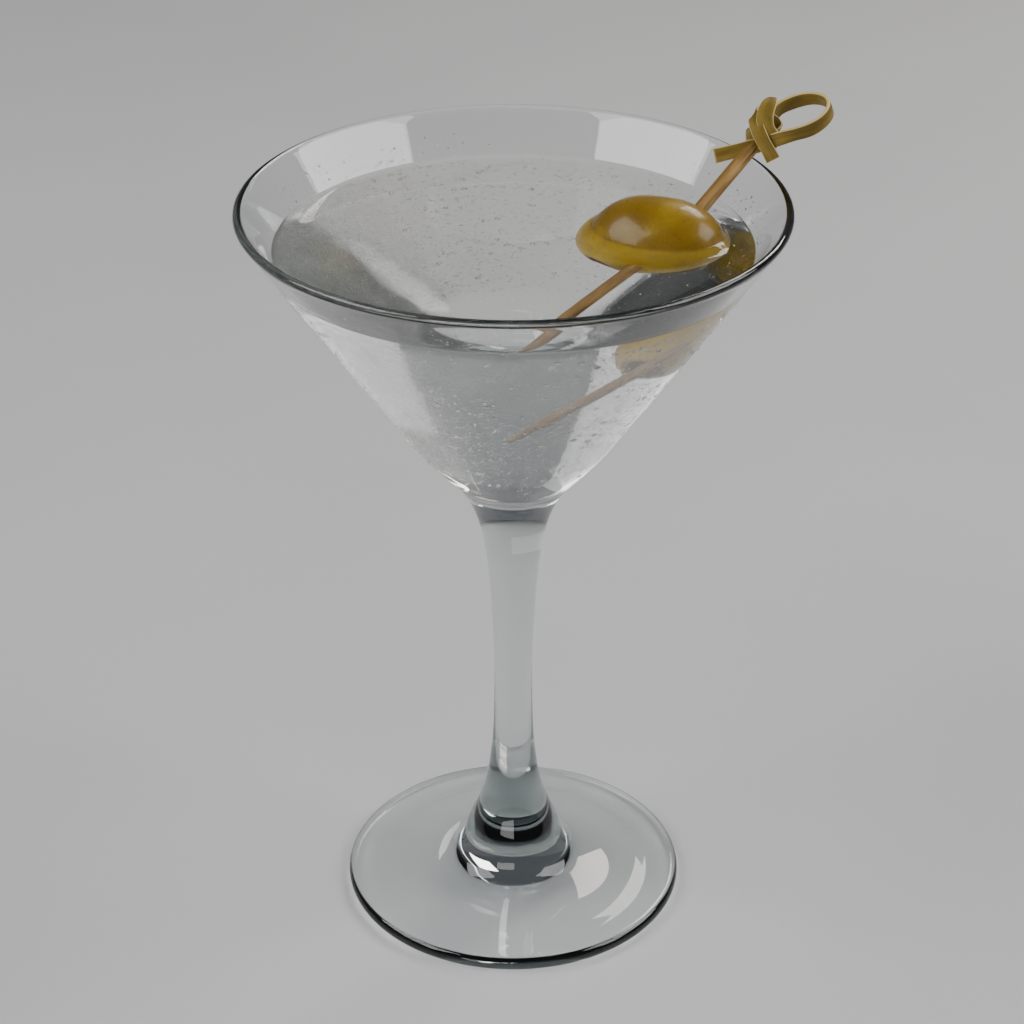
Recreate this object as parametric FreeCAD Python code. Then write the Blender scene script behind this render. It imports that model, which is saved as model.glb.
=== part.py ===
"""Martini cocktail: stemmed cone glass, clear drink, one large pitted olive and a knotted bamboo pick.

Millimetres. Origin on the glass's axis at table level, +Z up, +X towards the side that the pick's
loop leans over, +Y away from the front. The glass is one piece of drawn glass turned about Z.
"""
import FreeCAD
import Part
import math
import os

V = FreeCAD.Vector

# ---- driving dimensions -------------------------------------------------------------------------
HEIGHT = 165.0          # table to the top of the lip
RIM_R = 56.0            # outside of the lip
WALL = 1.8              # bowl wall, square to the cone
CONE_DEG = 34.3         # bowl's slope, measured from the axis
NECK_TOP = 0.689        # height where the cone gives way to the neck, as a part of HEIGHT
FOOT_R = 37.6           # outside of the foot
FOOT_EDGE = 3.4         # foot's thickness at its rounded edge
FOOT_ROUND = 1.75       # rounding of the foot's lower edge
RING_WIDE = 5.0         # contact ring's width
DISH = 1.5              # rise of the hollow under the foot
STEM_R = 4.2            # stem's waist
BULB_R = 20.0           # rounding inside the bottom of the bowl
FILL_DOWN = 9.25        # top of the lip down to the drink
OLIVE_LONG = 17.3       # olive's half length
OLIVE_WIDE = 11.8       # olive's half width
OLIVE_DOWN = 5.7        # drink's level down to the olive's centre
OLIVE_GAP = 0.64        # olive's skin to the inside of the cone
PIT_R = 3.6             # hole left by the pitting tool
PIT_DEEP = 9.0
PICK_R = 1.45           # bamboo shaft
STRIP_W = 3.0           # bamboo strip that forms the knot and the loop
STRIP_T = 0.8
LOOP_R = 6.6            # middle of the strip round the loop
SEAT_GAP = 0.15         # pick's point to the glass

slope = math.tan(math.radians(CONE_DEG))
cs = math.cos(math.radians(CONE_DEG))
sn = math.sin(math.radians(CONE_DEG))

# The lip is a full round of the wall's thickness: its centre sets both faces of the cone.
lip_r = RIM_R - WALL / 2.0
lip_z = HEIGHT - WALL / 2.0
out_r = lip_r + cs * WALL / 2.0
out_z = lip_z - sn * WALL / 2.0
in_r = lip_r - cs * WALL / 2.0
in_z = lip_z + sn * WALL / 2.0


def outer(z):
    """Radius of the cone's outside at height z."""
    return out_r - (out_z - z) * slope


def inner(z):
    """Radius of the cone's inside at height z."""
    return in_r - (in_z - z) * slope


inner_apex = in_z - in_r / slope
bulb_z = inner_apex + BULB_R / sn
bulb_low = bulb_z - BULB_R
touch_r = BULB_R * cs
touch_z = bulb_z - BULB_R * sn
level = HEIGHT - FILL_DOWN


# ---- glass ----------------------------------------------------------------------------------------
def pt(r, z):
    return V(r, 0.0, z)


def seg(a, b):
    return Part.LineSegment(a, b).toShape()


def arc(a, m, b):
    return Part.Arc(a, m, b).toShape()


neck_z = NECK_TOP * HEIGHT
neck_r = outer(neck_z)
hs = HEIGHT / 165.0
# Stem: (height, radius in waist radii), from the foot's plate up to the underside of the neck.
stem = [(7.6, 3.08), (10.4, 2.70), (14.0, 2.42), (18.6, 1.97), (24.2, 1.52), (29.8, 1.28),
        (37.0, 1.10), (46.5, 1.01), (57.8, 1.00), (69.0, 1.11), (77.4, 1.23), (83.0, 1.36),
        (88.6, 1.57), (92.5, 1.78)]
# Neck: (height, radius as a part of the cone's radius at the top of the neck).
neck = [(95.9, 0.397), (99.2, 0.468), (102.6, 0.579), (106.0, 0.716), (109.3, 0.849)]
foot_top = FOOT_EDGE - FOOT_ROUND
plate_r = FOOT_R - foot_top
curve = [pt(plate_r, FOOT_EDGE), pt(FOOT_R * 0.72, FOOT_EDGE + 0.45), pt(FOOT_R * 0.50, FOOT_EDGE + 1.6)]
curve += [pt(STEM_R * k, z * hs) for z, k in stem]
curve += [pt(neck_r * k, z * hs) for z, k in neck]
curve += [pt(neck_r, neck_z)]
body = Part.BSplineCurve()
body.interpolate(Points=curve, InitialTangent=V(-1.0, 0.0, 0.02), FinalTangent=V(sn, 0.0, cs))

ring_o = FOOT_R - FOOT_ROUND
ring_i = ring_o - RING_WIDE
q = math.sqrt(0.5)
edges = [
    seg(pt(ring_i, 0.0), pt(ring_o, 0.0)),
    arc(pt(ring_o, 0.0), pt(ring_o + q * FOOT_ROUND, (1.0 - q) * FOOT_ROUND), pt(FOOT_R, FOOT_ROUND)),
    arc(pt(FOOT_R, FOOT_ROUND), pt(plate_r + q * foot_top, FOOT_ROUND + q * foot_top),
        pt(plate_r, FOOT_EDGE)),
    body.toShape(),
    seg(pt(neck_r, neck_z), pt(out_r, out_z)),
    arc(pt(out_r, out_z), pt(lip_r + sn * WALL / 2.0, lip_z + cs * WALL / 2.0), pt(in_r, in_z)),
    seg(pt(in_r, in_z), pt(touch_r, touch_z)),
]
half = math.radians((90.0 - CONE_DEG) / 2.0)
mid = pt(BULB_R * math.sin(half), bulb_z - BULB_R * math.cos(half))
edges.append(arc(pt(touch_r, touch_z), mid, pt(0.0, bulb_low)))
edges.append(seg(pt(0.0, bulb_low), pt(0.0, DISH)))
dish = Part.BSplineCurve()
dish.interpolate(Points=[pt(0.0, DISH), pt(ring_i * 0.55, DISH * 0.72), pt(ring_i, 0.0)],
                 InitialTangent=V(1.0, 0.0, 0.0), FinalTangent=V(1.0, 0.0, -0.16))
edges.append(dish.toShape())
glass = Part.Face(Part.Wire(Part.__sortEdges__(edges))).revolve(V(0, 0, 0), V(0, 0, 1), 360)
glass = Part.Solid(glass) if glass.ShapeType == "Shell" else glass

# ---- place of the olive ---------------------------------------------------------------------------
olive_x = V(0.784, -0.448, 0.430)        # the olive's long axis
olive_x.normalize()
olive_side = V(27.6, 7.0, 0.0)           # side of the bowl that the olive lies against
olive_side.normalize()


def olive_room(c):
    """Least distance from an olive centred at c to the inside of the cone."""
    least = HEIGHT
    for k in range(360):
        a = math.radians(k)
        n = V(cs * math.cos(a), cs * math.sin(a), -sn)
        t = n.dot(olive_x)
        far = OLIVE_LONG * (1.03 if t > 0 else 0.97)
        reach = math.sqrt(OLIVE_WIDE ** 2 + (far ** 2 - OLIVE_WIDE ** 2) * t * t)
        least = min(least, cs * inner(0.0) - n.dot(c) - reach)
    return least


near, beyond = 0.0, RIM_R
for k in range(40):
    half_way = (near + beyond) / 2.0
    if olive_room(olive_side * half_way + V(0, 0, level - OLIVE_DOWN)) > OLIVE_GAP:
        near = half_way
    else:
        beyond = half_way
olive_c = olive_side * near + V(0, 0, level - OLIVE_DOWN)

# ---- pick -----------------------------------------------------------------------------------------
cross = olive_c + V(6.0, -1.6, OLIVE_DOWN)   # where the shaft's axis meets the drink's surface
along = V(1.202, 1.155, 1.0)
along.normalize()


def seat_distance():
    """How far below the surface the shaft's axis can go before the point meets the glass."""
    s = 0.0
    while s < 120.0:
        p = cross - along * s
        room = (inner(p.z) - math.hypot(p.x, p.y)) * cs
        if p.z < touch_z:
            room = BULB_R - (p - V(0, 0, bulb_z)).Length
        if room <= PICK_R * 0.45 + SEAT_GAP:
            return s
        s += 0.05
    return s


tip = cross - along * seat_distance()
knot = cross + along * 30.0
taper = 11.0
shaft_len = (knot - tip).Length - taper
shaft = Part.makeCone(PICK_R * 0.42, PICK_R, taper, tip, along)
shaft = shaft.fuse(Part.makeCylinder(PICK_R, shaft_len, tip + along * taper, along))


def strip(path, wide, width=STRIP_W, thick=STRIP_T):
    """A flat bamboo strip that follows the path; wide is the direction of its width."""
    wires = []
    for i, p in enumerate(path):
        a = path[max(i - 1, 0)]
        b = path[min(i + 1, len(path) - 1)]
        t = b - a
        t.normalize()
        w = wide[i] if isinstance(wide, list) else wide
        w = w - t * w.dot(t)
        w.normalize()
        n = t.cross(w)
        w = w * (width / 2.0)
        n = n * (thick / 2.0)
        wires.append(Part.makePolygon([p + w + n, p - w + n, p - w - n, p + w - n, p + w + n]))
    return Part.makeLoft(wires, True, False)


# The loop is a hoop of strip, its middle plane leaning back and down towards the shaft's side.
hoop_x = V(0.940, 0.0, 0.341)
hoop_y = V(-0.045, 0.991, 0.125)
hoop_n = hoop_x.cross(hoop_y)
hoop_n.normalize()
hoop_c = knot + hoop_x * (LOOP_R + 0.7) + hoop_y * 1.4


def hoop(radius):
    e = Part.makeCircle(radius, hoop_c - hoop_n * (STRIP_W / 2.0), hoop_n)
    return Part.Face(Part.Wire(e)).extrude(hoop_n * STRIP_W)


loop = hoop(LOOP_R + STRIP_T / 2.0).cut(hoop(LOOP_R - STRIP_T / 2.0))

side = V(1, 0, 0)
lift = V(0, 0.490, 0.872)
near = V(0, -0.872, 0.490)


def at(s, u, n):
    """A point near the knot: s to the side, u up, n towards the front."""
    return knot + side * s + lift * u + near * n


tail = strip([at(0.8, -1.2, 1.3), at(-2.6, -2.7, 2.0), at(-6.4, -3.9, 2.1), at(-11.0, -5.0, 1.7)], lift)
band = strip([at(-1.6, 4.4, 0.6), at(-0.9, 2.4, 2.1), at(-0.1, -0.6, 2.9), at(0.7, -3.2, 2.6),
              at(1.3, -5.9, 1.9)], side)
turn = strip([at(1.6, 6.3, -0.4), at(0.2, 4.6, 1.2), at(-1.5, 1.9, 1.7), at(-2.4, -1.2, 1.2),
              at(-1.8, -3.0, -0.4)], V(1.0, 0.25, -0.2))
back = strip([at(-2.3, 3.6, 0.2), at(-0.6, 4.4, -1.6), at(1.8, 3.0, -1.9), at(2.6, 0.2, -1.4),
              at(1.6, -2.4, -0.2)], lift)
core = Part.makeSphere(2.5, knot)
pick = shaft.fuse([core, loop, tail, band, turn, back]).removeSplitter()

# ---- olive ----------------------------------------------------------------------------------------
def half_olive(length, toward):
    """One end of the olive, a half ellipsoid turned about the long axis."""
    e = Part.Ellipse(V(0, 0, 0), length, OLIVE_WIDE)
    first, last = (0.0, math.pi / 2.0) if toward > 0 else (math.pi / 2.0, math.pi)
    tip_at = V(toward * length, 0, 0)
    wire = Part.Wire(Part.__sortEdges__([Part.Arc(e, first, last).toShape(), seg(tip_at, V(0, 0, 0)),
                                         seg(V(0, 0, 0), V(0, OLIVE_WIDE, 0))]))
    return Part.Face(wire).revolve(V(0, 0, 0), V(1, 0, 0), 360)


# The surface's own joining line lies along the hidden underside, clear of both holes.
seam = V(0.15, 0.75, -0.65)
seam = seam - olive_x * seam.dot(olive_x)
seam.normalize()
olive = half_olive(OLIVE_LONG * 1.03, 1).fuse(half_olive(OLIVE_LONG * 0.97, -1)).Solids[0]
olive.Placement = FreeCAD.Placement(olive_c, FreeCAD.Rotation(olive_x, seam, olive_x.cross(seam), "XYZ"))
pit_dir = V(-0.62, -0.60, -0.50)
pit_dir.normalize()
pit_at = olive_c + V(-10.4, -4.7, -7.4)
pit = Part.makeCylinder(PIT_R, PIT_DEEP + 8.0, pit_at - pit_dir * PIT_DEEP, pit_dir)
pit = pit.fuse(Part.makeSphere(PIT_R, pit_at - pit_dir * PIT_DEEP))
whole = olive
olive = whole.cut(pit).cut(pick)

# ---- drink ----------------------------------------------------------------------------------------
fill = [
    seg(pt(0.0, level), pt(inner(level), level)),
    seg(pt(inner(level), level), pt(touch_r, touch_z)),
    arc(pt(touch_r, touch_z), mid, pt(0.0, bulb_low)),
    seg(pt(0.0, bulb_low), pt(0.0, level)),
]
drink = Part.Face(Part.Wire(Part.__sortEdges__(fill))).revolve(V(0, 0, 0), V(0, 0, 1), 360)
drink = drink.cut(olive).cut(pick)

# ---- out ------------------------------------------------------------------------------------------
os.makedirs("parts", exist_ok=True)
nodes = {"glass": glass, "drink": drink, "olive": olive, "cocktail_pick": pick}
for name, shape in nodes.items():
    if len(shape.Solids) == 1:
        shape = shape.Solids[0]
    shape.exportStep("parts/%s.step" % name)
    b = shape.BoundBox
    print(name, shape.isValid(), "solids", len(shape.Solids), "volume", round(shape.Volume, 1),
          "x %.1f..%.1f y %.1f..%.1f z %.1f..%.1f" % (b.XMin, b.XMax, b.YMin, b.YMax, b.ZMin, b.ZMax))
print("level", round(level, 2), "bowl bottom", round(bulb_low, 2), "tip", [round(v, 2) for v in tip],
      "knot", [round(v, 2) for v in knot], "pick length", round((knot - tip).Length + 2 * LOOP_R, 1))
for a, b in (("glass", "drink"), ("glass", "olive"), ("glass", "cocktail_pick"), ("drink", "olive"),
             ("drink", "cocktail_pick"), ("olive", "cocktail_pick")):
    print("overlap", a, b, round(nodes[a].common(nodes[b]).Volume, 4),
          "distance", round(nodes[a].distToShape(nodes[b])[0], 3))
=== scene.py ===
"""Looks of a martini cocktail: turned glass, clear drink, pitted olive, knotted bamboo pick and mist."""
import bmesh
import bpy
import math
import numpy as np
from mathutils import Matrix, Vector, noise


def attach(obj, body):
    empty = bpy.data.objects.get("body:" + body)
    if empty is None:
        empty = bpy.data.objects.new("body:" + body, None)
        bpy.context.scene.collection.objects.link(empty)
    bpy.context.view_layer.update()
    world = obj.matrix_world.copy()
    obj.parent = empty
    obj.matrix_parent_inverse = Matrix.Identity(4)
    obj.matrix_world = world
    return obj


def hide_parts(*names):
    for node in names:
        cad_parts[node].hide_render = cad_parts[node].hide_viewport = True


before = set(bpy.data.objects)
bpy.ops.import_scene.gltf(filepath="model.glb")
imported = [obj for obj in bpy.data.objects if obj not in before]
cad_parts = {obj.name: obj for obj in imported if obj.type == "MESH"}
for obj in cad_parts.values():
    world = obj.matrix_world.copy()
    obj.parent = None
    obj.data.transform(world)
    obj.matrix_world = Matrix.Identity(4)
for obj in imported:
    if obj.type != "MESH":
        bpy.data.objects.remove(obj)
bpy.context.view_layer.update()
MM = 0.001
rng = np.random.default_rng(11)

# ---- sizes in millimetres, as in the CAD -----------------------------------------------------------
HEIGHT = 165.0
RIM_R = 56.0
WALL = 1.8
CONE_DEG = 34.3
CONE = math.radians(CONE_DEG)
FOOT_R, FOOT_EDGE, FOOT_ROUND = 37.6, 3.4, 1.75
RING_WIDE = 5.0
DISH = 1.5
STEM_R = 4.2
BULB_R = 20.0
LEVEL = 155.75           # the drink's surface
OLIVE_LONG, OLIVE_WIDE, OLIVE_DOWN = 17.3, 11.8, 5.7
PIT_R, PIT_DEEP = 3.6, 9.0
PICK_R = 1.45
POINT_LONG, POINT_R = 11.0, 0.42    # the pick's point: its length, and its end as a part of the shaft
SEAT_GAP = 0.15
KNOT_UP = 30.0           # along the shaft, from the surface to the knot
STRIP_W, STRIP_T = 3.0, 0.8
LOOP_R = 6.6
slope, cs, sn = math.tan(CONE), math.cos(CONE), math.sin(CONE)
lip_r, lip_z = RIM_R - WALL / 2, HEIGHT - WALL / 2
out_r, out_z = lip_r + cs * WALL / 2, lip_z - sn * WALL / 2
in_r, in_z = lip_r - cs * WALL / 2, lip_z + sn * WALL / 2
bulb_z = in_z - in_r / slope + BULB_R / sn
bulb_low, touch_z = bulb_z - BULB_R, bulb_z - BULB_R * sn
neck_z = 0.689 * HEIGHT


def outer(z):
    """Radius of the cone's outside at height z."""
    return out_r - (out_z - z) * slope


def inner(z):
    """Radius of the cone's inside at height z."""
    return in_r - (in_z - z) * slope


# ---- mesh helpers ----------------------------------------------------------------------------------
LATHE_CREASE = 33.0      # degrees; a sharper corner keeps its edge
STRIP_CREASE = 50.0


def obj_from(name, verts, faces, crease=0.0):
    """A mesh object from points in millimetres. Corners over the crease angle, in degrees, stay crisp."""
    me = bpy.data.meshes.new(name)
    me.from_pydata((np.asarray(verts, float) * MM).tolist(), [], faces)
    me.update()
    me.shade_smooth()
    if crease:
        me.set_sharp_from_angle(angle=math.radians(crease))
    ob = bpy.data.objects.new(name, me)
    bpy.context.scene.collection.objects.link(ob)
    return ob


def set_value(ob, name, values):
    """Give the object's points a value each, which its material reads."""
    ob.data.attributes.new(name, "FLOAT", "POINT").data.foreach_set("value", values)


def set_grain(ob, places):
    """Give the object's points their place along and across the grain, in millimetres."""
    data = ob.data.attributes.new("grain", "FLOAT_VECTOR", "POINT").data
    data.foreach_set("vector", (places * MM).reshape(-1))


def ring_faces(first, rows, cols):
    """Quads between closed rows of cols points each."""
    f = []
    for i in range(rows - 1):
        a = first + i * cols
        b = a + cols
        for j in range(cols):
            k = (j + 1) % cols
            f.append((a + j, a + k, b + k, b + j))
    return f


def closed_faces(rows, cols, inside_out=False):
    """Faces of rows of points between a first and a last single point, which close the two ends."""
    faces = [(0, 1 + (j + 1) % cols, 1 + j) for j in range(cols)] + ring_faces(1, rows, cols)
    base = 1 + (rows - 1) * cols
    faces += [(base + cols, base + j, base + (j + 1) % cols) for j in range(cols)]
    return [tuple(reversed(f)) for f in faces] if inside_out else faces


def unit(v):
    """The vector at length 1."""
    v = np.asarray(v, float)
    return v / np.linalg.norm(v)


def lathe(name, profile, cols=224, shape=None):
    """Turn a profile of (r, z), which starts and ends on the axis, about Z. shape may move the points."""
    prof = np.asarray(profile, float)
    a = np.linspace(0, 2 * math.pi, cols, endpoint=False)
    body = prof[1:-1]
    x = body[:, :1] * np.cos(a)
    y = body[:, :1] * np.sin(a)
    z = np.repeat(body[:, 1:2], cols, axis=1)
    pts = np.stack([x, y, z], axis=2).reshape(-1, 3)
    pts = np.vstack([[[0, 0, prof[0, 1]]], pts, [[0, 0, prof[-1, 1]]]])
    if shape is not None:
        pts = shape(pts)
    return obj_from(name, pts, closed_faces(len(body), cols), LATHE_CREASE)


def arc(cr, cz, radius, a0, a1, n):
    """Points of (r, z) on an arc from a0 to a1 degrees."""
    t = np.radians(np.linspace(a0, a1, n))
    return [(cr + radius * math.cos(v), cz + radius * math.sin(v)) for v in t]


def clamped_spline(points, d0, d1, per=7):
    """Smooth curve through the points, with the end directions given."""
    p = np.asarray(points, float)
    h = np.linalg.norm(np.diff(p, axis=0), axis=1)
    n = len(p)
    A = np.zeros((n, n))
    B = np.zeros((n, p.shape[1]))
    A[0, 0] = A[-1, -1] = 1.0
    B[0] = np.asarray(d0) / np.linalg.norm(d0)
    B[-1] = np.asarray(d1) / np.linalg.norm(d1)
    for i in range(1, n - 1):
        A[i, i - 1] = h[i]
        A[i, i] = 2 * (h[i - 1] + h[i])
        A[i, i + 1] = h[i - 1]
        B[i] = 3 * (h[i] / h[i - 1] * (p[i] - p[i - 1]) + h[i - 1] / h[i] * (p[i + 1] - p[i]))
    m = np.linalg.solve(A, B)
    out = []
    for i in range(n - 1):
        for k in range(per):
            t = k / per
            s = t * t * (3 - 2 * t)
            bend = t * (1 - t) ** 2 * m[i] - t * t * (1 - t) * m[i + 1]
            out.append(p[i] * (1 - s) + p[i + 1] * s + h[i] * bend)
    out.append(p[-1])
    return np.array(out)


def smooth_path(points, per=8):
    """Smooth open curve through points, with natural-looking ends."""
    p = np.asarray(points, float)
    return clamped_spline(p, p[1] - p[0], p[-1] - p[-2], per)


# ---- glass -----------------------------------------------------------------------------------------
stem = [(7.6, 3.08), (10.4, 2.70), (14.0, 2.42), (18.6, 1.97), (24.2, 1.52), (29.8, 1.28), (37.0, 1.10),
        (46.5, 1.01), (57.8, 1.00), (69.0, 1.11), (77.4, 1.23), (83.0, 1.36), (88.6, 1.57), (92.5, 1.78)]
neck = [(95.9, 0.397), (99.2, 0.468), (102.6, 0.579), (106.0, 0.716), (109.3, 0.849), (neck_z, 1.0)]
foot_top = FOOT_EDGE - FOOT_ROUND
plate_r = FOOT_R - foot_top
ring_o = FOOT_R - FOOT_ROUND
ring_i = ring_o - RING_WIDE
knots = [(plate_r, FOOT_EDGE), (FOOT_R * 0.72, FOOT_EDGE + 0.45), (FOOT_R * 0.50, FOOT_EDGE + 1.6)]
knots += [(STEM_R * k, z) for z, k in stem]
knots += [(outer(neck_z) * k, z) for z, k in neck]
dish = clamped_spline([(0, DISH), (ring_i * 0.55, DISH * 0.72), (ring_i, 0)], (1, 0), (1, -0.16), 10)
under = [tuple(v) for v in dish] + [(ring_o, 0.0)]
edge = arc(ring_o, FOOT_ROUND, FOOT_ROUND, -90, 0, 9)[1:]
edge += arc(plate_r, FOOT_ROUND, foot_top, 0, 90, 9)[1:-1]
body = [tuple(v) for v in clamped_spline(knots, (-1, 0.02), (sn, cs), 8)]
WALL_ROWS = 46
wall_out = [(outer(z), z) for z in np.linspace(neck_z, out_z, WALL_ROWS)[1:]]
lip = arc(lip_r, lip_z, WALL / 2, -CONE_DEG, 180 - CONE_DEG, 15)[1:]
wall_in = [(inner(z), z) for z in np.linspace(in_z, touch_z, WALL_ROWS)[1:]]
bulb = arc(0, bulb_z, BULB_R, -CONE_DEG, -90, 22)[1:]
glass = lathe("glass_turned", under + edge + body + wall_out + lip + wall_in + bulb)
MIST_SIDE = 0.25         # radians; the mist is thinnest on this side and thickest opposite


def step(v, lo, hi):
    """Smooth rise from 0 at lo to 1 at hi."""
    t = np.clip((v - lo) / (hi - lo), 0, 1)
    return t * t * (3 - 2 * t)


def mist_on(ob):
    """How misted each point of the glass is: only its outside, and only where the drink chills it."""
    p = np.empty(len(ob.data.vertices) * 3)
    ob.data.vertices.foreach_get("co", p)
    p = p.reshape(-1, 3) / MM
    r = np.hypot(p[:, 0], p[:, 1])
    on_outside = step(r - inner(p[:, 2]), 0.9, 1.6)
    chilled = step(p[:, 2], 108.5, 113.0) * (1 - step(p[:, 2], 152.6, 156.2))
    a = np.arctan2(p[:, 1], p[:, 0])
    # Partly painted light: the mist is uneven round the glass, and its thicker, whiter cloud on the left
    # also stands in for the light falling on that side.
    thick = 0.5 - 0.5 * np.cos(a - MIST_SIDE) + 0.10 * np.sin(5 * a + 0.8) + 0.06 * np.sin(11 * a)
    return on_outside * chilled * np.clip(0.10 + 0.95 * thick ** 1.5, 0, 1)


set_value(glass, "mist", mist_on(glass))
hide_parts("glass")
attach(glass, "root")

# ---- olive -----------------------------------------------------------------------------------------
olive_c = np.array([27.6, 7.0, LEVEL - OLIVE_DOWN])
ox = unit([0.784, -0.448, 0.430])        # the long axis
oy = np.array([0.15, 0.75, -0.65])
oy = unit(oy - ox * (oy @ ox))
oz = np.cross(ox, oy)
pit_dir = unit([-0.62, -0.60, -0.50])
pit_at = olive_c + np.array([-10.4, -4.7, -7.4])
cross = np.array([33.6, 5.4, LEVEL])     # where the pick's axis meets the drink's surface
along = unit([1.202, 1.155, 1.0])        # the pick's direction
SKIN_IN = 0.25           # the skin keeps this far inside the ellipsoid, and its waves and dents go on top
DENT, DENT_REACH = 0.55, 2.5             # the skin's dip round the pick
SHOULDER, SHOULDER_REACH = 1.9, 8.5      # fullness of the upper left of the dome
shoulder_at = olive_c + np.array([-5.0, 0.0, 8.5])
BOTTOM_R = 0.86          # radius at the hole's bottom, as a part of that at its rim


def olive_f(p):
    """Under 1 inside the olive, over 1 outside."""
    d = p - olive_c
    x = d @ ox
    x = x / np.where(x > 0, OLIVE_LONG * 1.03, OLIVE_LONG * 0.97)
    return np.sqrt(x * x + ((d @ oy) ** 2 + (d @ oz) ** 2) / OLIVE_WIDE ** 2)


def meet_olive(start, direction):
    """Point where each ray from inside meets the olive's skin."""
    lo = np.zeros(len(direction))
    hi = np.full(len(direction), 60.0)
    for _ in range(34):
        mid = (lo + hi) / 2
        inside = olive_f(start + direction * mid[:, None]) < 1
        lo = np.where(inside, mid, lo)
        hi = np.where(inside, hi, mid)
    return start + direction * lo[:, None]


def from_line(p, at_point, direction):
    """Distance of each point from the line."""
    d = p - at_point
    return np.linalg.norm(d - np.outer(d @ direction, direction), axis=1)


def make_olive(cols=180):
    """Rows of points from the bottom of the pitting tool's hole, out over its rim and round the skin."""
    c0 = pit_at - pit_dir * PIT_DEEP
    e1 = unit(np.cross(pit_dir, [0, 0, 1.0]))
    e2 = np.cross(pit_dir, e1)
    psi = np.linspace(0, 2 * math.pi, cols, endpoint=False)
    e = np.outer(np.cos(psi), e1) + np.outer(np.sin(psi), e2)
    ragged = 1 + 0.05 * np.sin(3 * psi + 0.7) + 0.035 * np.sin(5 * psi + 2.0) + 0.02 * np.sin(9 * psi)
    rows = []

    def at_radius(r):
        start = c0 + e * r[:, None]
        return meet_olive(start, np.repeat(pit_dir[None], cols, 0))

    edge_r = PIT_R * ragged
    lip_row = at_radius(edge_r * 1.10)
    rim = (lip_row - c0) @ pit_dir
    # The hole's round bottom, its rough side, and its rolled rim.
    for k in np.linspace(0.06, 1, 7):
        rows.append(c0 + e * (edge_r * BOTTOM_R * math.sin(k * math.pi / 2))[:, None]
                    - pit_dir * (PIT_R * 0.9 * math.cos(k * math.pi / 2)))
    for k in np.linspace(0, 1, 18)[1:-1]:
        r = edge_r * (BOTTOM_R + 0.10 * k + 0.02 * np.sin(7 * k + 2 * psi))
        rows.append(c0 + e * r[:, None] + pit_dir * ((rim - 0.9) * k)[:, None])
    for scale, down in ((0.965, 0.75), (0.985, 0.36), (1.02, 0.13), (1.055, 0.03)):
        rows.append(c0 + e * (edge_r * scale)[:, None] + pit_dir * (rim - down)[:, None])
    rows.append(lip_row)
    # The skin: rings that grow from the ragged rim to a true circle, then on round to the far side.
    for r in np.linspace(1.16, 1.75, 8):
        rows.append(at_radius(edge_r * r + (PIT_R * r - edge_r * r) * (r - 1.16) / 0.59))
    last = rows[-1] - c0
    phi0 = np.arctan2(from_line(rows[-1], c0, pit_dir), last @ pit_dir)
    for k in np.linspace(0, 1, 104)[1:-1]:
        phi = phi0 + (math.pi - phi0) * k
        rows.append(meet_olive(c0, np.cos(phi)[:, None] * pit_dir + np.sin(phi)[:, None] * e))
    pts = np.vstack([[c0 - pit_dir * PIT_R * 0.9]] + rows + [meet_olive(c0, -pit_dir[None])])
    skin = olive_f(pts) > 0.985
    out = pts - olive_c
    out /= np.linalg.norm(out, axis=1)[:, None]
    dent = DENT * np.exp(-(from_line(pts, cross, along) / DENT_REACH) ** 2)
    wave = np.array([noise.noise(Vector(p / 6.5)) * 0.15 + noise.noise(Vector(p / 2.2 + 9)) * 0.03
                     for p in pts])
    shoulder = SHOULDER * np.exp(-(np.linalg.norm(pts - shoulder_at, axis=1) / SHOULDER_REACH) ** 2)
    move = np.where(skin, wave + shoulder - dent - SKIN_IN, 0.0)
    pts = pts + out * move[:, None]
    ob = obj_from("olive_flesh", pts, closed_faces(len(rows), cols, True))
    # Painted shade: the hole's inside, and the skin round its rim out to 1.5 times the hole's radius, are
    # marked for a dark brown that stands in for the shade in the hollow.
    hole = np.where(skin, 0.0, 1.0)
    ahead = ((pts - c0) @ pit_dir) > 0
    rim_shade = 1 - step(from_line(pts, c0, pit_dir), PIT_R, PIT_R * 1.5)
    set_value(ob, "pit", np.maximum(hole, np.where(ahead & skin, rim_shade, 0)))
    # Painted light: below the drink the skin takes a paler copy of its colour. It is full from 10 mm under
    # the surface down, and half from 4 mm under to just above it, for light reaching it through the drink.
    above = step(pts[:, 2], LEVEL + 0.3, LEVEL + 1.2)
    shallow = step(pts[:, 2], LEVEL - 10, LEVEL - 4)
    set_value(ob, "painted_light_underwater", 1 - 0.5 * above - 0.5 * shallow)
    return ob


olive = make_olive()
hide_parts("olive")
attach(olive, "root")

# ---- drink -----------------------------------------------------------------------------------------
INTO = 0.07              # how far the drink reaches into the wall, so that no air gap shows
WALL_RISE, WALL_REACH = 0.4, 1.3         # how high the surface climbs, and how far off that fades
OLIVE_RISE, OLIVE_REACH = 1.25, 1.0
PICK_RISE, PICK_REACH = 0.5, 0.8
SWAY = 0.02
edge_z = LEVEL + WALL_RISE
side_pts = [(0.0, bulb_low - INTO)]
side_pts += arc(0, bulb_z, BULB_R + INTO, -90, -CONE_DEG, 22)[1:]
side_pts += [(inner(z) + INTO / cs, z) for z in np.linspace(touch_z, edge_z, 40)[1:]]
contact = inner(edge_z)
top_r = contact - np.concatenate([np.linspace(0, 5, 16), np.linspace(5, contact - 0.4, 92)[1:]])
top_pts = [(r, LEVEL) for r in top_r] + [(0.0, LEVEL)]


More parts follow.
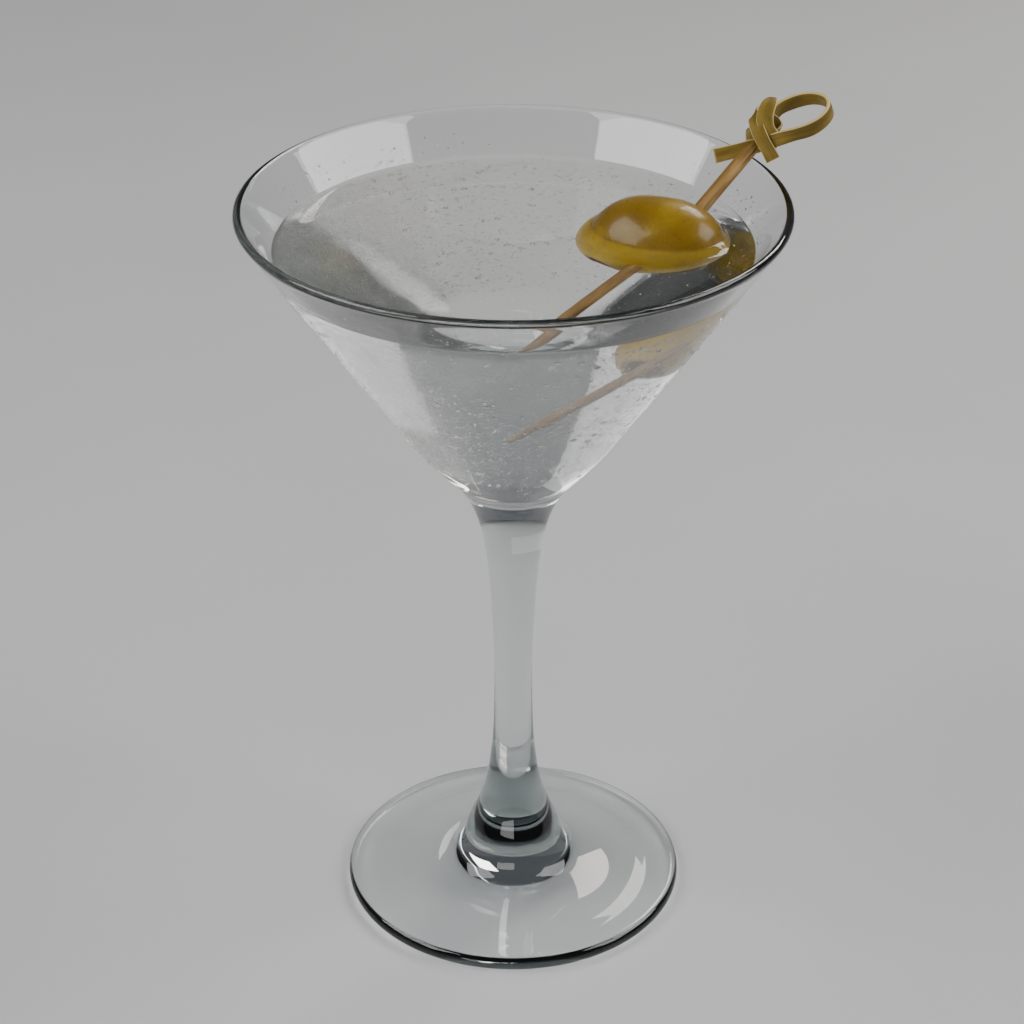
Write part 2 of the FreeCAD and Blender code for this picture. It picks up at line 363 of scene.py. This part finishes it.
def surface(p):
    """Raise the surface where it climbs the wall, the olive and the pick, with a faint sway."""
    top = np.abs(p[:, 2] - LEVEL) < 1e-6
    r = np.hypot(p[:, 0], p[:, 1])
    wall = WALL_RISE * np.exp(-(contact - r) / WALL_REACH)
    flat = p.copy()
    flat[:, 2] = LEVEL
    f = olive_f(flat)
    near = 0.05
    gx = (olive_f(flat + [near, 0, 0]) - f) / near
    gy = (olive_f(flat + [0, near, 0]) - f) / near
    gap = (f - 1) / np.maximum(np.hypot(gx, gy), 1e-3)
    piece = OLIVE_RISE * np.exp(-np.clip(gap, 0, None) / OLIVE_REACH)
    off = p[:, :2] - cross[:2]
    shaft_r = np.maximum(np.hypot(off[:, 0], off[:, 1]) - PICK_R * 1.3, 0)
    piece = np.maximum(piece, PICK_RISE * np.exp(-shaft_r / PICK_REACH))
    sway = SWAY * np.sin(p[:, 0] / 7.0 + 1.0) * np.cos(p[:, 1] / 9.0)
    p[:, 2] += np.where(top, np.maximum(wall, piece) + 0.35 * np.minimum(wall, piece) + sway, 0.0)
    return p


drink = lathe("drink_clear", side_pts + top_pts, 224, surface)
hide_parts("drink")
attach(drink, "root")


# ---- pick ------------------------------------------------------------------------------------------
def seat_distance():
    """How far below the surface the shaft's axis goes before the point is SEAT_GAP from the glass."""
    s = 0.0
    while s < 120.0:
        p = cross - along * s
        room = (inner(p[2]) - math.hypot(p[0], p[1])) * cs
        if p[2] < touch_z:
            room = BULB_R - np.linalg.norm(p - [0, 0, bulb_z])
        if room <= PICK_R * 0.45 + SEAT_GAP:
            return s
        s += 0.05
    return s


tip = cross - along * seat_distance()
knot = cross + along * KNOT_UP
side_v = np.array([1.0, 0, 0])
lift_v = np.array([0, 0.490, 0.872])
near_v = np.array([0, -0.872, 0.490])


def at(s, u, n):
    """A point near the knot: s to the side, u up, n towards the front."""
    return knot + side_v * s + lift_v * u + near_v * n


def sweep(name, path, wides, halves, round_off=0.22):
    """Solid strip along a path, with a width direction and a (half width, half thickness) for each row."""
    path = np.asarray(path, float)
    n = len(path)
    tang = np.gradient(path, axis=0)
    tang /= np.linalg.norm(tang, axis=1)[:, None]
    w = np.asarray(wides, float)
    w = w - tang * np.sum(w * tang, axis=1)[:, None]
    w /= np.linalg.norm(w, axis=1)[:, None]
    t = np.cross(tang, w)
    rows = []
    flags = []
    for i in range(n):
        hw, ht = halves[i]
        k = min(round_off, ht * 0.9)
        sec = []
        flag = []
        x, y = hw - k, ht - k
        for cx, cy, a0 in ((x, y, 0), (-x, y, 90), (-x, -y, 180), (x, -y, 270)):
            for a in np.radians(np.linspace(a0, a0 + 90, 4)):
                sec.append(path[i] + w[i] * (cx + k * math.cos(a)) + t[i] * (cy + k * math.sin(a)))
                flag.append(abs(math.cos(a)) > 0.5)
        rows.append(sec)
        flags.append(flag)
    m = len(rows[0])
    pts = np.array(rows).reshape(-1, 3)
    faces = ring_faces(0, n, m)
    faces.append(tuple(range(m - 1, -1, -1)))
    faces.append(tuple(range((n - 1) * m, n * m)))
    ob = obj_from(name, pts, faces, STRIP_CREASE)
    cut = np.array(flags, float).reshape(-1)
    cut[:m] = 1.0
    cut[-m:] = 1.0
    set_value(ob, "cut", cut)
    length = np.concatenate([[0], np.cumsum(np.linalg.norm(np.diff(path, axis=0), axis=1))])
    grain = np.zeros((n, m, 3))
    grain[:, :, 0] = length[:, None]
    off = np.array(rows) - path[:, None, :]
    grain[:, :, 1] = np.einsum("ijk,ik->ij", off, w)
    grain[:, :, 2] = np.einsum("ijk,ik->ij", off, t)
    set_grain(ob, grain)
    return ob


def strip(name, pts, wides, width=STRIP_W, thick=STRIP_T, narrow=0.0):
    """A flat strip through the points; narrow is the part of its width that it lacks where it starts."""
    path = smooth_path(pts, 10)
    where = np.linspace(0, len(pts) - 1, len(path))
    given = np.asarray(wides, float)
    w = np.stack([np.interp(where, np.arange(len(pts)), given[:, k]) for k in range(3)], axis=1)
    halves = []
    for i in range(len(path)):
        uneven = 1 + 0.03 * math.sin(i * 0.23 + len(pts))
        uneven *= 1 - narrow * max(0.0, 1 - i / (0.30 * len(path))) ** 1.5
        halves.append((width / 2 * uneven, thick / 2))
    return sweep(name, path, w, halves)


hx = np.array([0.940, 0.0, 0.341])
hy = np.array([-0.045, 0.991, 0.125])
hn = unit(np.cross(hx, hy))
hoop_c = knot + hx * (LOOP_R + 0.7) + hy * 1.4
SHAFT_PAST = 1.2         # how far the shaft runs on past the middle of the knot


def hoop(deg):
    """A point on the middle of the loop's strip."""
    a = math.radians(deg)
    return hoop_c + LOOP_R * (hx * math.cos(a) + hy * math.sin(a))


def make_shaft(cols=40, n=170):
    """Round bamboo, cut to a blunt point, its skin faintly fluted by the fibres."""
    s = np.linspace(0, np.linalg.norm(knot - tip) + SHAFT_PAST, n)
    w0 = unit(np.cross(along, [0, 0, 1.0]))
    w1 = np.cross(along, w0)
    a = np.linspace(0, 2 * math.pi, cols, endpoint=False)
    rows = []
    for v in s:
        r = PICK_R * min(1.0, POINT_R + (1 - POINT_R) * v / POINT_LONG)
        r *= 1.0 - 0.02 * math.sin(v / 9.0)
        flute = 1 + 0.012 * np.sin(9 * a + 0.06 * v) + 0.008 * np.sin(17 * a + 1.3 + 0.04 * v)
        r = r * flute
        rows.append(tip + along * v + np.outer(np.cos(a) * r, w0) + np.outer(np.sin(a) * r, w1))
    pts = np.vstack([[tip]] + rows + [[knot + along * SHAFT_PAST]])
    ob = obj_from("pick_shaft", pts, closed_faces(n, cols))
    g = np.zeros((len(pts), 3))
    g[:, 0] = (pts - tip) @ along
    g[:, 1] = (pts - tip) @ w0
    g[:, 2] = (pts - tip) @ w1
    set_grain(ob, g)
    set_value(ob, "cut", np.zeros(len(pts)))
    return ob


def make_loop():
    """The strip's tail runs in from the left, goes round the loop and ends behind the knot."""
    pts = [at(-10.9, -5.4, 1.7), at(-6.6, -4.4, 2.0), at(-2.9, -3.5, 2.1), at(0.3, -2.6, 2.2)]
    wide = [lift_v, lift_v, lift_v, lift_v * 0.7 + hn * 0.3]
    for deg in (-108, -80, -50, -20, 10, 40, 70, 100, 130, 158):
        pts.append(hoop(deg))
        wide.append(hn)
    pts.append(at(-0.4, 3.4, -0.8))
    wide.append(hn)
    return strip("pick_loop", pts, wide)


def make_knot():
    """The three turns of the knot: one folds over its top, one wraps its front, one closes its back."""
    fold = [at(1.4, 6.9, -1.2), at(0.9, 6.2, 0.1), at(0.0, 4.3, 1.5), at(-0.5, 2.2, 2.2),
            at(-0.1, 0.0, 2.75), at(0.9, -1.6, 2.5), at(1.8, -2.8, 1.2)]
    fold_wide = [(1, 0.1, 0), (1, 0.1, 0.1), (1, 0, 0.15), (1, 0, 0.1), (1, 0, -0.1), (0.95, 0, -0.2),
                 (0.9, 0, -0.3)]
    wrap = [at(0.2, 3.9, -1.9), at(-2.0, 3.6, -0.6), at(-2.4, 2.0, 1.4), at(-2.0, -0.2, 2.9),
            at(-0.9, -2.7, 3.4), at(0.3, -4.7, 3.0), at(1.2, -6.2, 2.3)]
    wrap_wide = [(0.2, 0.5, 0.8), (0.35, 0.3, 0.8), (0.8, 0.1, 0.35), (0.95, 0.05, 0.2), (0.95, 0, 0.25),
                 (0.95, 0, 0.2), (0.97, 0, 0.15)]
    back = [at(-2.9, -2.0, 0.4), at(-2.8, 0.6, 0.2), at(-1.2, 2.6, -1.4), at(1.6, 2.2, -1.9),
            at(2.4, -0.4, -1.3), at(1.4, -2.6, 0.2)]
    back_wide = [(0.5, 0.3, 0.8)] * 2 + [(0, 0.5, 0.85)] * 4
    return [strip("pick_fold", fold, fold_wide, 3.4, 0.7, 0.5),
            strip("pick_wrap", wrap, wrap_wide, 2.9, 0.7),
            strip("pick_back", back, back_wide, 2.8)]


picks = [make_shaft(), make_loop()] + make_knot()
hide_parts("cocktail_pick")
for p in picks:
    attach(p, "root")


# ---- mist: real drops on the chilled wall ----------------------------------------------------------
DROP_HIGH = 0.58         # a drop's height as a part of its radius


def domes(name, centres, normals, sizes, cols, prof):
    """One mesh of low water domes, each set a little into the wall it clings to."""
    n = len(centres)
    t1 = np.cross(normals, [0, 0, 1.0])
    t1 /= np.linalg.norm(t1, axis=1)[:, None]
    t2 = np.cross(normals, t1)
    stretch = 1 + rng.uniform(-0.15, 0.35, n)
    turn = rng.uniform(0, math.pi, n)
    verts = []
    for r, h in prof:
        for k in np.linspace(0, 2 * math.pi, cols, endpoint=False):
            px = np.cos(k + turn) * r * sizes * stretch
            py = np.sin(k + turn) * r * sizes / stretch
            verts.append(centres + t1 * px[:, None] + t2 * py[:, None] + normals * (h * sizes)[:, None])
    verts.append(centres + normals * (DROP_HIGH * sizes)[:, None])
    per = len(verts)
    v = np.stack(verts, axis=1).reshape(-1, 3)
    last = (len(prof) - 1) * cols
    one = ring_faces(0, len(prof), cols)
    one += [(last + j, last + (j + 1) % cols, per - 1) for j in range(cols)]
    one.append(tuple(range(cols - 1, -1, -1)))
    faces = [tuple(q + i * per for q in f) for i in range(n) for f in one]
    return obj_from(name, v, faces)


# Outlines of a drop: (radius, height), both as parts of the drop's radius.
FINE = [(1.0, -0.12), (0.80, 0.36)]
ROUND = [(1.0, -0.12), (0.93, 0.22), (0.62, 0.46)]
APEX_Z = 80.0            # about where the cone would come to a point


def scatter(count, z0, z1, outside, size_mid, size_max, clump):
    """Places, wall directions and radii of drops, as many to each area, kept where clump says."""
    z = rng.uniform(z0, z1, count * 3)
    keep = rng.uniform(0, 1, len(z)) < (z - APEX_Z) / (HEIGHT - APEX_Z)
    z = z[keep][:count]
    a = rng.uniform(0, 2 * math.pi, len(z))
    m = clump(a, z)
    z, a = z[m], a[m]
    r = outer(z) if outside else inner(z)
    c = np.stack([r * np.cos(a), r * np.sin(a), z], axis=1)
    k = 1.0 if outside else -1.0
    nrm = np.stack([k * cs * np.cos(a), k * cs * np.sin(a), np.full(len(z), -k * sn)], axis=1)
    size = np.clip(size_mid * np.exp(rng.normal(0, 0.45, len(z))), 0.05, size_max)
    return c, nrm, size


def patches(a, z):
    """Beads stand thick on the misted side and thin on the other."""
    cloudy = 0.5 - 0.5 * np.cos(a - MIST_SIDE) + 0.2 * np.sin(3 * a + z / 9) * np.sin(z / 5 + 2 * a)
    return rng.uniform(0, 1, len(a)) < np.clip(0.30 + 0.75 * cloudy, 0.1, 1)


drops = [domes("mist_fine", *scatter(9600, 110.5, 154.0, True, 0.15, 0.28, patches), 5, FINE),
         domes("mist_drops", *scatter(1900, 110.5, 153.6, True, 0.27, 0.58, patches), 8, ROUND)]


def near_water(a, z):
    """Specks inside the glass stand thick just above the drink, in patches."""
    patch = np.clip(0.5 + 0.5 * (np.sin(3 * a + 1.1) + 0.6 * np.sin(7 * a + 0.4)), 0.05, 1)
    return rng.uniform(0, 1, len(a)) < np.exp(-(z - LEVEL - 0.8) / 2.2) * patch


inside = scatter(1500, LEVEL + 0.9, LEVEL + 6.5, False, 0.14, 0.36, near_water)
drops.append(domes("mist_inside", *inside, 8, ROUND))
for d in drops:
    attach(d, "root")


def specks(count=260):
    """Fine bubbles that hang in the drink and gather near its surface."""
    bm = bmesh.new()
    bmesh.ops.create_icosphere(bm, subdivisions=1, radius=1.0)
    ball = np.array([v.co[:] for v in bm.verts])
    tris = [tuple(v.index for v in f.verts) for f in bm.faces]
    bm.free()
    pts = []
    faces = []
    made = 0
    while made < count:
        z = bulb_low + 3 + (LEVEL - bulb_low - 4) * rng.uniform() ** 0.6
        lim = inner(z) - 1.5 if z > touch_z else 8.0
        r = lim * math.sqrt(rng.uniform())
        a = rng.uniform(0, 2 * math.pi)
        p = np.array([r * math.cos(a), r * math.sin(a), z])
        if olive_f(p[None])[0] < 1.06:
            continue
        size = 0.07 + 0.10 * rng.uniform() ** 2
        faces += [tuple(i + len(ball) * made for i in f) for f in tris]
        pts.append(p + ball * size)
        made += 1
    return obj_from("drink_bubbles", np.vstack(pts), faces)


bubbles = specks()
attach(bubbles, "root")


# ---- materials -------------------------------------------------------------------------------------
class Mat:
    """Small helper to build a node material."""

    def __init__(self, name):
        self.m = bpy.data.materials.new(name)
        self.m.use_nodes = True
        self.t = self.m.node_tree
        self.b = self.t.nodes["Principled BSDF"]

    def node(self, kind, **kw):
        """A new node, with its inputs or its own settings set by name."""
        n = self.t.nodes.new(kind)
        for k, v in kw.items():
            if k in n.inputs:
                n.inputs[k].default_value = v
            else:
                setattr(n, k, v)
        return n

    def link(self, a, b):
        self.t.links.new(a, b)

    def mix(self, factor, a, b, blend="MIX"):
        """Mix two colours by a socket or a number."""
        n = self.node("ShaderNodeMix", data_type="RGBA", blend_type=blend)
        if isinstance(factor, float):
            n.inputs["Factor"].default_value = factor
        else:
            self.link(factor, n.inputs["Factor"])
        self.link(a, n.inputs["A"])
        self.link(b, n.inputs["B"])
        return n.outputs["Result"]

    def set(self, **kw):
        """Set the shader's inputs by name."""
        for k, v in kw.items():
            self.b.inputs[k.replace("_", " ")].default_value = v

    def attr(self, name, output="Fac"):
        n = self.node("ShaderNodeAttribute")
        n.attribute_name = name
        return n.outputs[output]

    def math(self, op, a, b, clamp=False):
        """Arithmetic on two sockets or numbers with a decimal point."""
        n = self.node("ShaderNodeMath")
        n.operation = op
        n.use_clamp = clamp
        for i, v in enumerate((a, b)):
            if isinstance(v, float):
                n.inputs[i].default_value = v
            else:
                self.link(v, n.inputs[i])
        return n.outputs[0]

    def ramp(self, fac, stops):
        """Colours over fac, from stops of (position, colour)."""
        n = self.node("ShaderNodeValToRGB")
        els = n.color_ramp.elements
        while len(els) < len(stops):
            els.new(0.5)
        for e, (p, c) in zip(els, stops):
            e.position = p
            e.color = (*c, 1.0)
        self.link(fac, n.inputs[0])
        return n.outputs[0]

    def stretched(self, vec, scale):
        """The places scaled along each axis."""
        n = self.node("ShaderNodeMapping")
        n.inputs["Scale"].default_value = scale
        self.link(vec, n.inputs["Vector"])
        return n.outputs[0]

    def noise(self, vec, scale, detail=4.0, rough=0.55, distort=0.0):
        n = self.node("ShaderNodeTexNoise")
        n.inputs["Scale"].default_value = scale
        n.inputs["Detail"].default_value = detail
        n.inputs["Roughness"].default_value = rough
        n.inputs["Distortion"].default_value = distort
        self.link(vec, n.inputs["Vector"])
        return n.outputs[0]

    def bump(self, height, dist, strength, normal=None):
        n = self.node("ShaderNodeBump")
        n.inputs["Distance"].default_value = dist
        n.inputs["Strength"].default_value = strength
        self.link(height, n.inputs["Height"])
        if normal is not None:
            self.link(normal, n.inputs["Normal"])
        return n.outputs[0]

    def coords(self):
        """Places on the object, in metres."""
        return self.node("ShaderNodeTexCoord").outputs["Object"]


def glass_material():
    """Clear glass, which the attribute mist fogs and beads with moisture."""
    m = Mat("glass_clear")
    m.set(Base_Color=(0.985, 0.99, 0.99, 1), IOR=1.5, Transmission_Weight=1.0, Roughness=0.0)
    co = m.coords()
    patchy = m.noise(co, 120.0, 5.0, 0.6)
    fog = m.math("MULTIPLY", m.attr("mist"), m.math("ADD", m.math("MULTIPLY", patchy, 0.9), 0.45), True)
    fine = m.noise(co, 2600.0, 3.0, 0.7)
    rough = m.math("MULTIPLY", fog, m.math("ADD", m.math("MULTIPLY", fine, 0.05), 0.005))
    m.link(rough, m.b.inputs["Roughness"])
    # Partly painted light: where the mist is thick, mostly on the left, the glass turns into a white
    # diffuse cloud.
    cloud = m.math("MULTIPLY", fog, m.math("ADD", m.math("MULTIPLY", fine, 1.0), -0.07))
    m.link(m.math("SUBTRACT", 1.0, cloud, True), m.b.inputs["Transmission Weight"])
    vor = m.node("ShaderNodeTexVoronoi")
    vor.feature = "SMOOTH_F1"
    vor.inputs["Scale"].default_value = 1500.0
    m.link(co, vor.inputs["Vector"])
    beads = m.math("MULTIPLY", m.math("SUBTRACT", 1.0, vor.outputs["Distance"]), fog)
    ripple = m.noise(co, 55.0, 2.0, 0.5)
    n1 = m.bump(ripple, 0.00003, 0.25)
    n2 = m.bump(beads, 0.00010, 0.25, n1)
    m.link(n2, m.b.inputs["Normal"])
    absorb = m.node("ShaderNodeVolumeAbsorption")
    absorb.inputs["Color"].default_value = (0.62, 0.665, 0.665, 1)
    absorb.inputs["Density"].default_value = 70.0
    m.link(absorb.outputs[0], m.t.nodes["Material Output"].inputs["Volume"])
    return m.m


def drink_material():
    """Clear spirit with a faint straw tint and faint swirls."""
    m = Mat("drink_clear")
    m.set(Base_Color=(0.985, 0.985, 0.962, 1), IOR=1.355, Transmission_Weight=1.0, Roughness=0.0)
    co = m.coords()
    swirl = m.noise(co, 38.0, 3.0, 0.5, 1.2)
    m.link(m.bump(swirl, 0.00004, 0.12), m.b.inputs["Normal"])
    return m.m


def water_material():
    """Clear water of the drops."""
    m = Mat("water_drop")
    m.set(Base_Color=(1, 1, 1, 1), IOR=1.33, Transmission_Weight=1.0, Roughness=0.02)
    return m.m


def bubble_material():
    """Opaque silvery white as painted reflection: it stands in for the silver sheen that reflected light
    gives a fine bubble in a drink.
    """
    m = Mat("bubble")
    m.set(Base_Color=(0.93, 0.94, 0.93, 1), Roughness=0.12, IOR=1.3)
    v = m.noise(m.coords(), 900.0, 2.0)
    # Painted reflection: the pale, varied white is the sheen painted as colour.
    m.link(m.ramp(v, [(0.3, (0.80, 0.82, 0.82)), (0.7, (0.97, 0.97, 0.95))]), m.b.inputs["Base Color"])
    return m.m


def olive_material():
    """Wet olive skin. Painted light: the part under the drink takes a paler copy of the skin's colour;
    painted shade: pit darkens the hole and its rim to brown.
    """
    m = Mat("olive_skin")
    co = m.coords()
    big = m.noise(co, 95.0, 5.0, 0.6, 0.4)
    dry = m.ramp(big, [(0.28, (0.125, 0.064, 0.0014)), (0.50, (0.180, 0.103, 0.0025)),
                       (0.72, (0.26, 0.165, 0.007))])
    # Painted light: a paler copy of the skin colour, as if lit, for the part under the drink.
    sunk_painted_light = m.ramp(big, [(0.28, (0.31, 0.195, 0.002)), (0.50, (0.42, 0.275, 0.004)),
                        (0.72, (0.54, 0.370, 0.012))])
    skin = m.mix(m.attr("painted_light_underwater"), dry, sunk_painted_light)
    freckle = m.noise(co, 900.0, 3.0, 0.6)
    spots = m.ramp(freckle, [(0.30, (0.80, 0.74, 0.50)), (0.46, (1, 1, 1))])
    spotted = m.mix(0.55, skin, spots, "MULTIPLY")
    # Painted shade: dark brown for the hole and its rim.
    brown = m.ramp(m.noise(co, 420.0, 4.0), [(0.3, (0.085, 0.028, 0.004)), (0.7, (0.20, 0.085, 0.010))])
    m.link(m.mix(m.attr("pit"), spotted, brown), m.b.inputs["Base Color"])
    m.set(IOR=1.42, Specular_IOR_Level=0.3, Coat_Weight=0.35, Coat_Roughness=0.03, Coat_IOR=1.33,
          Subsurface_Weight=0.12, Subsurface_Radius=(1.0, 0.55, 0.12), Subsurface_Scale=0.0035)
    m.link(m.ramp(freckle, [(0.3, (0.42, 0.42, 0.42)), (0.7, (0.24, 0.24, 0.24))]), m.b.inputs["Roughness"])
    n1 = m.bump(big, 0.0003, 0.08)
    n2 = m.bump(freckle, 0.00012, 0.30, n1)
    m.link(n2, m.b.inputs["Normal"])
    return m.m


def bamboo_material(name, dark, mid, light, streak):
    """Split bamboo with fibres along its length; the attribute cut shows its paler cut faces."""
    m = Mat(name)
    grain = m.attr("grain", "Vector")
    fibres = m.noise(m.stretched(grain, (60.0, 2600.0, 2600.0)), 1.0, 4.0, 0.6)
    broad = m.noise(m.stretched(grain, (110.0, 420.0, 420.0)), 1.0, 3.0, 0.5)
    face = m.ramp(broad, [(0.30, dark), (0.52, mid), (0.75, light)])
    lines = m.ramp(fibres, [(0.32, streak), (0.50, (1, 1, 1)), (0.68, (1.0, 0.99, 0.95))])
    pale = m.ramp(fibres, [(0.3, (0.42, 0.31, 0.12)), (0.7, (0.60, 0.47, 0.22))])
    lined = m.mix(0.9, face, lines, "MULTIPLY")
    m.link(m.mix(m.attr("cut"), lined, pale), m.b.inputs["Base Color"])
    m.set(Roughness=0.48, IOR=1.4, Specular_IOR_Level=0.35, Subsurface_Weight=0.06,
          Subsurface_Radius=(1, 0.7, 0.3), Subsurface_Scale=0.0008)
    m.link(m.bump(fibres, 0.00014, 0.7), m.b.inputs["Normal"])
    return m.m


def floor_material():
    """Plain pale table."""
    m = Mat("floor_pale")
    v = m.noise(m.coords(), 6.0, 3.0)
    m.link(m.ramp(v, [(0.3, (0.45, 0.45, 0.455)), (0.7, (0.48, 0.48, 0.484))]), m.b.inputs["Base Color"])
    m.set(Roughness=0.75)
    return m.m


glass.data.materials.append(glass_material())
drink.data.materials.append(drink_material())
water = water_material()
for d in drops:
    d.data.materials.append(water)
bubbles.data.materials.append(bubble_material())
olive.data.materials.append(olive_material())
shaft_skin = bamboo_material("bamboo_shaft", (0.150, 0.080, 0.018), (0.250, 0.140, 0.036),
                             (0.380, 0.235, 0.080), (0.42, 0.32, 0.22))
strip_skin = bamboo_material("bamboo_strip", (0.110, 0.070, 0.008), (0.170, 0.110, 0.014),
                             (0.245, 0.165, 0.028), (0.60, 0.55, 0.42))
picks[0].data.materials.append(shaft_skin)
for p in picks[1:]:
    p.data.materials.append(strip_skin)

# ---- floor, light and camera -----------------------------------------------------------------------
bpy.ops.mesh.primitive_plane_add(size=6.0, location=(0, 0, -0.0002))
floor = bpy.context.object
floor.name = "floor"
floor.data.materials.append(floor_material())


def softbox(name, place, aim, wide, high, power, colour):
    """A rectangular area light at place that faces aim, in metres and watts."""
    data = bpy.data.lights.new(name, "AREA")
    data.shape = "RECTANGLE"
    data.size = wide
    data.size_y = high
    data.energy = power
    data.color = colour
    ob = bpy.data.objects.new(name, data)
    ob.location = place
    ob.rotation_euler = (Vector(aim) - Vector(place)).to_track_quat("-Z", "Y").to_euler()
    bpy.context.scene.collection.objects.link(ob)
    return ob


# The extra lights only show in the glass, the drink and the drops, so that these shine and nothing
# else is overlit.
gloss_on = bpy.data.collections.new("gloss_on")
for piece in [glass, drink] + drops:
    gloss_on.objects.link(piece)
# Each softbox: name, place, aim, width, height, power on everything, extra power in the glass, colour.
BOXES = (("right", (0.77, -0.02, 0.72), (-0.03, 0.04, 0.16), 0.79, 0.60, 8.5, 18.0, (1, 1, 1)),
         ("left", (-0.71, -0.154, 0.77), (0.03, 0.04, 0.16), 0.75, 0.60, 8.0, 16.0, (1, 1, 1)),
         ("back", (0.45, 0.85, 0.85), (0, 0, 0.12), 0.40, 0.40, 5.0, 14.0, (1.0, 0.94, 0.86)),
         ("front", (-0.30, -1.10, 0.34), (0.02, 0, 0.14), 0.70, 0.34, 3.0, 16.0, (1, 1, 1)))
for side_name, place, aim, wide, high, power, gloss_power, colour in BOXES:
    softbox("box_" + side_name, place, aim, wide, high, power, colour)
    extra = softbox("gloss_" + side_name, place, aim, wide, high, gloss_power, colour)
    extra.light_linking.receiver_collection = gloss_on
    extra.visible_diffuse = False
    extra.visible_transmission = side_name != "left"

world = bpy.data.worlds.new("studio")
world.use_nodes = True
sky = world.node_tree.nodes["Background"]
sky.inputs["Color"].default_value = (0.86, 0.90, 0.96, 1)
sky.inputs["Strength"].default_value = 0.16
bpy.context.scene.world = world

CAMERA_AT = (-0.00029, -0.4900, 0.36987)
LOOK_DOWN_DEG = 29.37
cam_data = bpy.data.cameras.new("camera")
cam_data.sensor_width = 36.0
cam_data.lens = 92.86
cam = bpy.data.objects.new("camera", cam_data)
cam.location = CAMERA_AT
cam.rotation_euler = (math.radians(90.0 - LOOK_DOWN_DEG), 0, 0)
bpy.context.scene.collection.objects.link(cam)
bpy.context.scene.camera = cam
